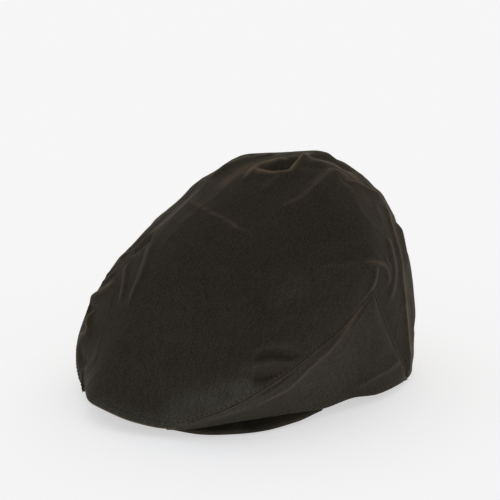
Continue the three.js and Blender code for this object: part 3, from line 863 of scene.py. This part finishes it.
def new_group(name, inputs, outputs):
    """A node group, its inputs and its outputs."""
    group = bpy.data.node_groups.new(name, "ShaderNodeTree")
    for direction, sockets in (("INPUT", inputs), ("OUTPUT", outputs)):
        for label, kind in sockets:
            group.interface.new_socket(name=label, in_out=direction, socket_type="NodeSocket" + kind)
    return group, group.nodes.new("NodeGroupInput").outputs, group.nodes.new("NodeGroupOutput").inputs


def weave_group():
    """Fine plain weave with uneven threads, read from the flat map of the cloth."""
    group, given, out = new_group("cotton_weave", [("Flat", "Vector"), ("Pitch", "Float")],
                                  [("Height", "Float"), ("Thread", "Float")])
    parts = add(group, "ShaderNodeSeparateXYZ", {0: given["Flat"]}).outputs
    waves = []
    for part in (parts["X"], parts["Y"]):
        turns = maths(group, "MULTIPLY", maths(group, "DIVIDE", part, given["Pitch"]), math.pi)
        waves.append(maths(group, "SINE", turns))
    slubs = []
    for stretch in ((1, SLUB_STRETCH, 1), (SLUB_STRETCH, 1, 1)):
        squeezed = add(group, "ShaderNodeMapping", {"Vector": given["Flat"], "Scale": stretch})
        slubs.append(cloud(group, squeezed.outputs[0], SLUB_SCALE, 2))
    slub = maths(group, "SUBTRACT", maths(group, "ADD", *slubs), 1.0)
    height = maths(group, "MULTIPLY_ADD", maths(group, "MULTIPLY", *waves), WAVE_HEIGHT,
                   maths(group, "MULTIPLY", slub, SLUB_HEIGHT))
    fill(group, out, {"Height": height, "Thread": slub})
    return group


def mottle_group():
    """Uneven wax: slow patches, small blotches and a fine bloom."""
    labels = [(label, "Float") for label in MOTTLE]
    group, given, out = new_group("wax_mottle", [("Vector", "Vector")], labels)
    for label, (scale, detail, low, high) in MOTTLE.items():
        spots = cloud(group, given["Vector"], scale, detail, roughness=0.6, distortion=0.4)
        fill(group, out, {label: ranged(group, spots, low, high)})
    return group


def new_material(name):
    """The node tree of a new material and the inputs of its shader."""
    material = bpy.data.materials.new(name)
    material.use_nodes = True
    return material.node_tree, material.node_tree.nodes["Principled BSDF"].inputs


def cloth_material(name, finish, colour, groups):
    tree, shader = new_material(name)
    spot = add(tree, "ShaderNodeTexCoord").outputs["Object"]
    flat = add(tree, "ShaderNodeUVMap", uv_map="cloth").outputs[0]
    worn_and_lit, pale = (add(tree, "ShaderNodeAttribute", attribute_name=key).outputs["Fac"]
                  for key in ("wear", "pale"))
    mottle = add(tree, "ShaderNodeGroup", {"Vector": spot}, node_tree=groups["mottle"]).outputs
    patch, blotch, grain = (mottle[label] for label in MOTTLE)
    weave = add(tree, "ShaderNodeGroup", {"Flat": flat, "Pitch": finish.weave_pitch},
                node_tree=groups["weave"]).outputs
    tone = mixed(tree, patch, (*colour,), (*finish.brown,))
    tone = mixed(tree, maths(tree, "MULTIPLY", blotch, BLOTCH_SHARE), tone, (*finish.bloom,))
    # Pale places: fading and scuffs of the wax on the top, and painted light on the side panels.
    faded_and_lit = maths(tree, "MULTIPLY", pale, ranged(tree, blotch, 0.0, 1.0, *PALE_SHARE))
    tone = mixed(tree, faded_and_lit, tone, (*finish.faded_and_lit,))
    shade = ranged(tree, maths(tree, "ADD", grain, weave["Thread"]), 0.0, 1.0, *SHADE)
    grey = add(tree, "ShaderNodeCombineColor", {0: shade, 1: shade, 2: shade}).outputs[0]
    tone = mixed(tree, 1.0, tone, grey, "MULTIPLY")
    # Tan of rubbing on creases and edges; on the left rear crease and the field over the peak's right end
    # this paints light.
    wear_and_light_mask = maths(tree, "MULTIPLY", worn_and_lit, ranged(tree, blotch, 0.0, 1.0, *RUBBED_SHARE))
    tone = mixed(tree, wear_and_light_mask, tone, (*finish.worn_and_lit,))
    smoothest, roughest = (finish.roughness + change for change in ROUGH_SPREAD)
    rough = ranged(tree, maths(tree, "ADD", patch, blotch), 0.0, 2.0, smoothest, roughest)
    height = maths(tree, "MULTIPLY", grain, GRAIN_BUMP)
    height = maths(tree, "MULTIPLY_ADD", weave["Height"], WEAVE_BUMP, height)
    bump = add(tree, "ShaderNodeBump", {"Strength": 0.35, "Distance": 0.0002, "Height": height})
    fill(tree, shader, {"Base Color": tone, "Roughness": rough, "Normal": bump.outputs[0],
                        "Specular IOR Level": finish.gloss, "Sheen Weight": finish.sheen_weight,
                        "Sheen Roughness": finish.sheen_roughness, "Sheen Tint": (*finish.sheen,)})


def thread_material(name, finish):
    tree, shader = new_material(name)
    spot = add(tree, "ShaderNodeTexCoord").outputs["Object"]
    tone = mixed(tree, cloud(tree, spot, THREAD_SCALE, 2), (*finish.thread,), (*finish.brown,))
    twist = add(tree, "ShaderNodeTexWave", {"Vector": spot, "Scale": THREAD_SCALE, "Distortion": 1.0})
    bump = add(tree, "ShaderNodeBump", {"Strength": 0.4, "Distance": 0.0001, "Height": twist.outputs[1]})
    fill(tree, shader, {"Base Color": tone, "Normal": bump.outputs[0], "Roughness": 0.7,
                        "Specular IOR Level": 0.25})


def floor_material(name, stage):
    tree, shader = new_material(name)
    spot = add(tree, "ShaderNodeTexCoord").outputs["Object"]
    pale = (*stage.floor_colour,)
    tone = mixed(tree, cloud(tree, spot, 3, 2), pale, tuple(c * FLOOR_CHANGE for c in pale[:3]) + (1,))
    fill(tree, shader, {"Base Color": tone, "Roughness": 0.9, "Specular IOR Level": 0.0,
                        "Emission Color": (1, 1, 1, 1), "Emission Strength": stage.floor_glow})


# Settings.
def amount(label, note, value, **more):
    return FloatProperty(name=label, description=note, default=value, min=0, **more)


def length(label, note, value):
    return amount(label, note, value, unit="LENGTH", subtype="DISTANCE")


def share(label, note, value):
    return amount(label, note, value, max=1, subtype="FACTOR")


def number(label, note, value):
    return IntProperty(name=label, description=note, default=value, min=1)


def colour(label, note, value):
    return FloatVectorProperty(name=label, description=note, default=(*value, 1), size=4, min=0, max=1,
                               subtype="COLOR")


class CapClothSettings(bpy.types.PropertyGroup):
    thickness: length("Cloth", "Thickness of the cloth with its lining", 0.002)
    hem_radius: length("Hem roll", "Radius of the rolled lower edge", 0.0016)
    seam_radius: length("Seam roll", "Radius of the cloth where it turns into a seam", 0.0009)
    ripple: length("Ripple", "Height of the slow unevenness", 0.001)
    top_cells: number("Top cells", "Cells across the top's outer face", 288)
    lining_cells: number("Lining cells", "Cells across the top's inner face", 96)
    side_cells: number("Side cells", "Cells along a side panel", 300)
    side_rows: number("Side rows", "Cells up a side panel", 90)


class CapPeakSettings(bpy.types.PropertyGroup):
    board: length("Board", "Thickness of the covered peak", 0.0036)
    cells: number("Cells", "Cells along the peak", 220)
    section_cells: number("Section cells", "Cells round the peak's section", 64)
    stitch_length: length("Stitch", "Length of one stitch", 0.0024)
    stitch_thickness: length("Thread", "Thickness of the thread", 0.0008)
    stitch_pitch: length("Pitch", "Distance from stitch to stitch", 0.0034)
    stitch_inset: length("Inset", "Distance of the stitches from the seams", 0.0021)
    front_inset: length("Front inset", "Distance of the stitches from the front edge", 0.0048)


class CapFinishSettings(bpy.types.PropertyGroup):
    cotton: colour("Cotton", "Waxed cotton in its dark olive tone", (0.0320, 0.0277, 0.0208))
    # The peak's cover is far darker than the cotton: this paints the shade that the overhanging crown casts
    # on it.
    peak: colour("Peak", "Cover of the peak", (0.0110, 0.0103, 0.0080))
    brown: colour("Brown", "Warm patches in the wax", (0.0368, 0.0300, 0.0226))
    bloom: colour("Bloom", "Greyish blotches in the wax", (0.0385, 0.0362, 0.0292))
    # The pale tone is fading, scuffs and rubbing of the wax on the top, and painted light on the side panels.
    faded_and_lit: colour("Faded", "Wax gone pale in the front and on the sides", (0.0560, 0.0530, 0.0430))
    # The tan of rubbing on creases and edges; on the left rear crease and the field over the peak's right end
    # it paints light.
    worn_and_lit: colour("Worn", "Rubbed creases and edges", (0.20, 0.15, 0.10))
    thread: colour("Thread", "Sewing thread", (0.012, 0.011, 0.009))
    sheen: colour("Sheen", "Tint of the light that grazes the cloth", (1.0, 0.8, 0.58))
    weave_pitch: length("Weave", "Distance from thread to thread", 0.0005)
    roughness: share("Roughness", "Roughness of the wax", 0.6)
    gloss: share("Gloss", "Specular level of the wax", 0.025)
    sheen_weight: share("Sheen", "Strength of the grazing light", 0.08)
    sheen_roughness: share("Sheen spread", "Roughness of the grazing light", 0.2)


class CapStageSettings(bpy.types.PropertyGroup):
    floor_size: length("Floor", "Half width of the floor", 6.0)
    floor_colour: colour("Floor", "Colour of the floor", (0.6, 0.612, 0.644))
    floor_glow: amount("Glow", "Light that comes through the floor", 0.565)
    sky: amount("Surround", "Strength of the light all round", 0.44)
    behind: amount("Behind", "Added light from behind", 1.05)
    warmth: colour("Warmth", "Tint of the light from behind", (1.0, 0.84, 0.6))
    above: amount("Above", "Added light from above", 0.15)
    lens: amount("Lens", "Focal length of the camera", 162.0, unit="CAMERA")


class CapOperator:
    bl_options = {"REGISTER", "UNDO"}


class MESH_OT_cap_top(CapOperator, bpy.types.Operator):
    """Make the one-piece top with its folds, hems and seams"""
    bl_idname = "mesh.cap_top"
    bl_label = "Top Cloth"

    def execute(self, context):
        piece = make_top(context.scene.cap_cloth)
        finish_cloth(piece, TOP_NODES)
        return {"FINISHED"}


class MESH_OT_cap_sides(CapOperator, bpy.types.Operator):
    """Make the two wedge-shaped side panels"""
    bl_idname = "mesh.cap_sides"
    bl_label = "Side Cloths"

    def execute(self, context):
        for side, mirror, seed in SIDE_SEEDS:
            piece = make_side("side_cloth_" + side, context.scene.cap_cloth, mirror, seed)
            finish_cloth(piece, ("side_panel_" + side,))
        return {"FINISHED"}


class MESH_OT_cap_peak(CapOperator, bpy.types.Operator):
    """Make the covered peak"""
    bl_idname = "mesh.cap_peak"
    bl_label = "Peak Cover"

    def execute(self, context):
        piece = make_peak(context.scene.cap_peak)
        piece.data.materials.append(finishes()["peak"])
        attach(piece, "root")
        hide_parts("peak")
        return {"FINISHED"}


class MESH_OT_cap_stitches(CapOperator, bpy.types.Operator):
    """Make the stitches along the front edge and the side seams"""
    bl_idname = "mesh.cap_stitches"
    bl_label = "Edge Stitches"

    def execute(self, context):
        piece = make_stitches(context.scene.cap_peak, bpy.data.objects["top_cloth"])
        piece.data.materials.append(finishes()["thread"])
        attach(piece, "root")
        return {"FINISHED"}


class MESH_OT_cap_stage(CapOperator, bpy.types.Operator):
    """Make the floor, the light and the camera"""
    bl_idname = "mesh.cap_stage"
    bl_label = "Stage"

    def execute(self, context):
        make_stage(context.scene, context.scene.cap_stage)
        return {"FINISHED"}


def finishes():
    """The cap's materials, made once."""
    names = {"cotton": "olive_waxed_cotton", "peak": "peak_cotton_painted_shade", "thread": "waxed_thread"}
    if names["cotton"] not in bpy.data.materials:
        finish = bpy.context.scene.cap_finish
        groups = {"weave": weave_group(), "mottle": mottle_group()}
        for key in ("cotton", "peak"):
            cloth_material(names[key], finish, getattr(finish, key), groups)
        thread_material(names["thread"], finish)
    return {key: bpy.data.materials[name] for key, name in names.items()}


def finish_cloth(piece, nodes):
    piece.data.materials.append(finishes()["cotton"])
    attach(piece, "root")
    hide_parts(*nodes)


def make_stage(scene, stage):
    bm = bmesh.new()
    bmesh.ops.create_grid(bm, x_segments=1, y_segments=1, size=stage.floor_size)
    bmesh.ops.translate(bm, verts=bm.verts[:], vec=(0, 0, -FLOOR_DROP))
    floor = put("floor", bm)
    floor_material("pale_floor", stage)
    floor.data.materials.append(bpy.data.materials["pale_floor"])
    scene.world = bpy.data.worlds.new("soft_light")
    scene.world.use_nodes = True
    tree = scene.world.node_tree
    direction = add(tree, "ShaderNodeTexCoord").outputs["Generated"]
    strength = stage.sky
    for side, light in ((ABOVE, stage.above), (BEHIND, stage.behind)):
        facing = add(tree, "ShaderNodeVectorMath", {0: direction, 1: side}, operation="DOT_PRODUCT")
        lobe = maths(tree, "POWER", ranged(tree, facing.outputs["Value"], 0.0, 1.0), LOBE_POWER)
        lobe = maths(tree, "MULTIPLY", lobe, light)
        strength = maths(tree, "ADD", lobe, strength)
    tint = mixed(tree, maths(tree, "DIVIDE", lobe, strength), (1, 1, 1, 1), (*stage.warmth,))
    fill(tree, tree.nodes["Background"].inputs, {"Color": tint, "Strength": strength})
    scene.view_settings.view_transform = "Standard"
    camera = bpy.data.cameras.new("camera")
    camera.lens = stage.lens
    camera.sensor_width = SENSOR_WIDTH
    camera.clip_end = VIEW_END
    eye = bpy.data.objects.new("camera", camera)
    eye.location = EYE
    eye.rotation_euler = (Vector(AIM) - eye.location).to_track_quat("-Z", "Y").to_euler()
    scene.collection.objects.link(eye)
    scene.camera = eye


class VIEW3D_PT_cap(bpy.types.Panel):
    """Lists the pieces of the cap"""
    bl_idname = "VIEW3D_PT_cap"
    bl_label = "Waxed Flat Cap"
    bl_space_type = "VIEW_3D"
    bl_region_type = "UI"
    bl_category = "Flat Cap"

    def draw(self, context):
        for operator in STEPS:
            self.layout.operator(operator.bl_idname)


STEPS = (MESH_OT_cap_stage, MESH_OT_cap_top, MESH_OT_cap_sides, MESH_OT_cap_peak, MESH_OT_cap_stitches)
SETTINGS = {"cap_cloth": CapClothSettings, "cap_peak": CapPeakSettings,
            "cap_finish": CapFinishSettings, "cap_stage": CapStageSettings}


def register():
    for cls in (*SETTINGS.values(), *STEPS, VIEW3D_PT_cap):
        bpy.utils.register_class(cls)
    for name, cls in SETTINGS.items():
        setattr(bpy.types.Scene, name, PointerProperty(type=cls))


def unregister():
    for name in SETTINGS:
        delattr(bpy.types.Scene, name)
    for cls in (VIEW3D_PT_cap, *reversed(STEPS), *reversed(SETTINGS.values())):
        bpy.utils.unregister_class(cls)


def main():
    register()
    for operator in STEPS:
        group, name = operator.bl_idname.split(".")
        getattr(getattr(bpy.ops, group), name)()


if __name__ == "__main__":
    main()
